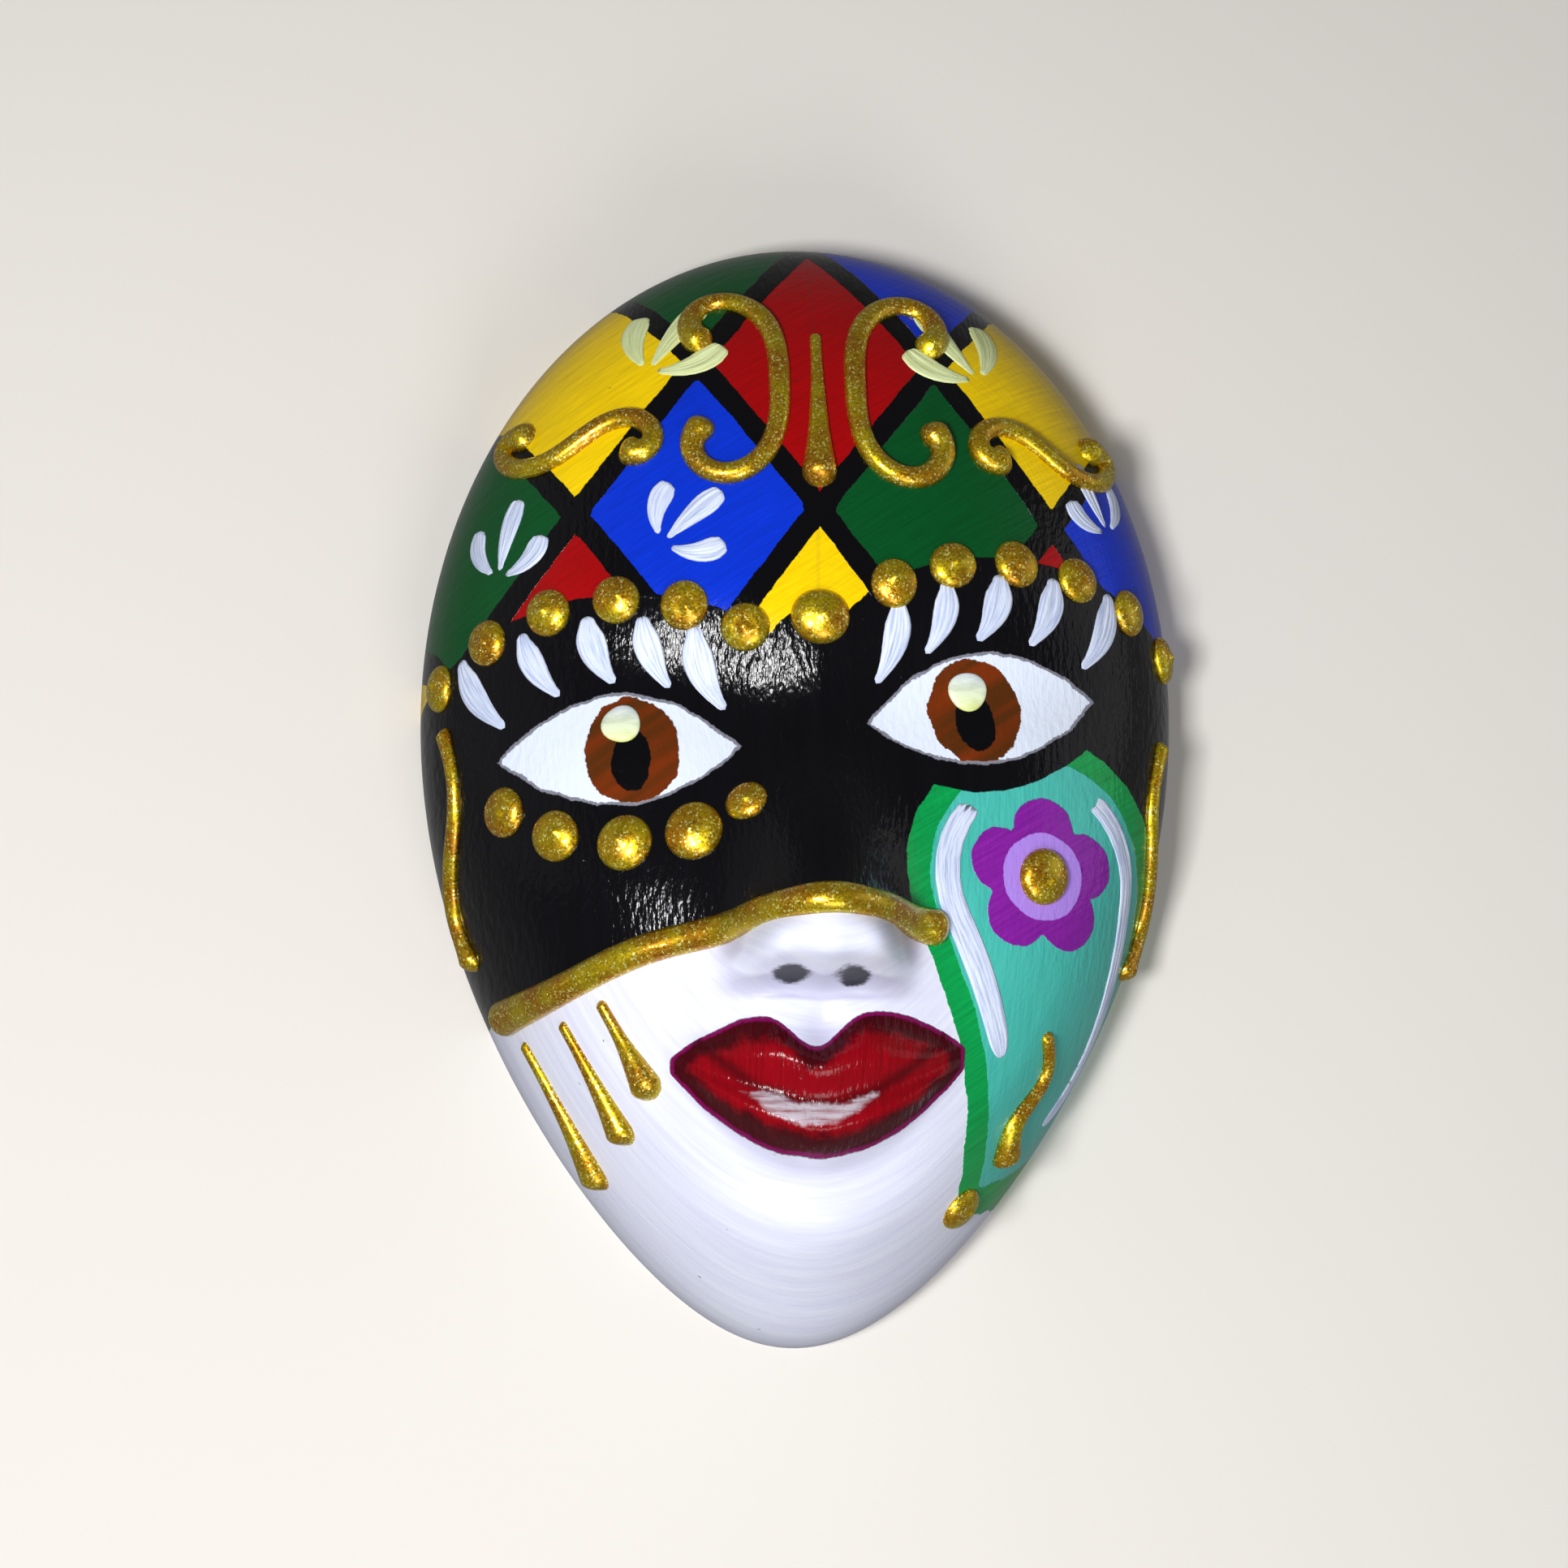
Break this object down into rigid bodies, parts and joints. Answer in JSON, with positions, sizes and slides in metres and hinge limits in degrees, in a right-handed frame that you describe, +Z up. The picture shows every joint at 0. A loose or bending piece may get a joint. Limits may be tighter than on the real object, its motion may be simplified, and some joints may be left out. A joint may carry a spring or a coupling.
{
  "type": "decorative wall mask",
  "caption": "Small hollow cast face mask with raised gold scrolls, beads and drops, hung by a bent wire loop in its back.",
  "frame": {"origin": "middle of the nail that carries the wire loop, in the plane of the flat back rim", "axes": "+Z up to the crown, +Y into the wall, -Y the way the face looks, +X to the viewer's right"},
  "size_m": [0.068, 0.0363, 0.1],
  "materials": {
    "plaster": "satin",
    "gold_paint": "satin",
    "wire": "satin"
  },
  "bodies": {
    "root": {"mask_shell": "plaster", "hanger_pad": "plaster", "hanger_wire": "wire", "brow_beads_left": "gold_paint", "brow_beads_right": "gold_paint", "brow_bead_centre": "gold_paint", "eye_beads": "gold_paint", "crown_scroll_left": "gold_paint", "crown_scroll_right": "gold_paint", "crown_drop": "gold_paint", "temple_scroll_left": "gold_paint", "temple_scroll_right": "gold_paint", "half_mask_edge": "gold_paint", "side_line_left": "gold_paint", "side_line_right": "gold_paint", "cheek_drops": "gold_paint", "leaf_drop": "gold_paint", "leaf_tip_bead": "gold_paint", "flower_bead": "gold_paint"}
  },
  "joints": []
}
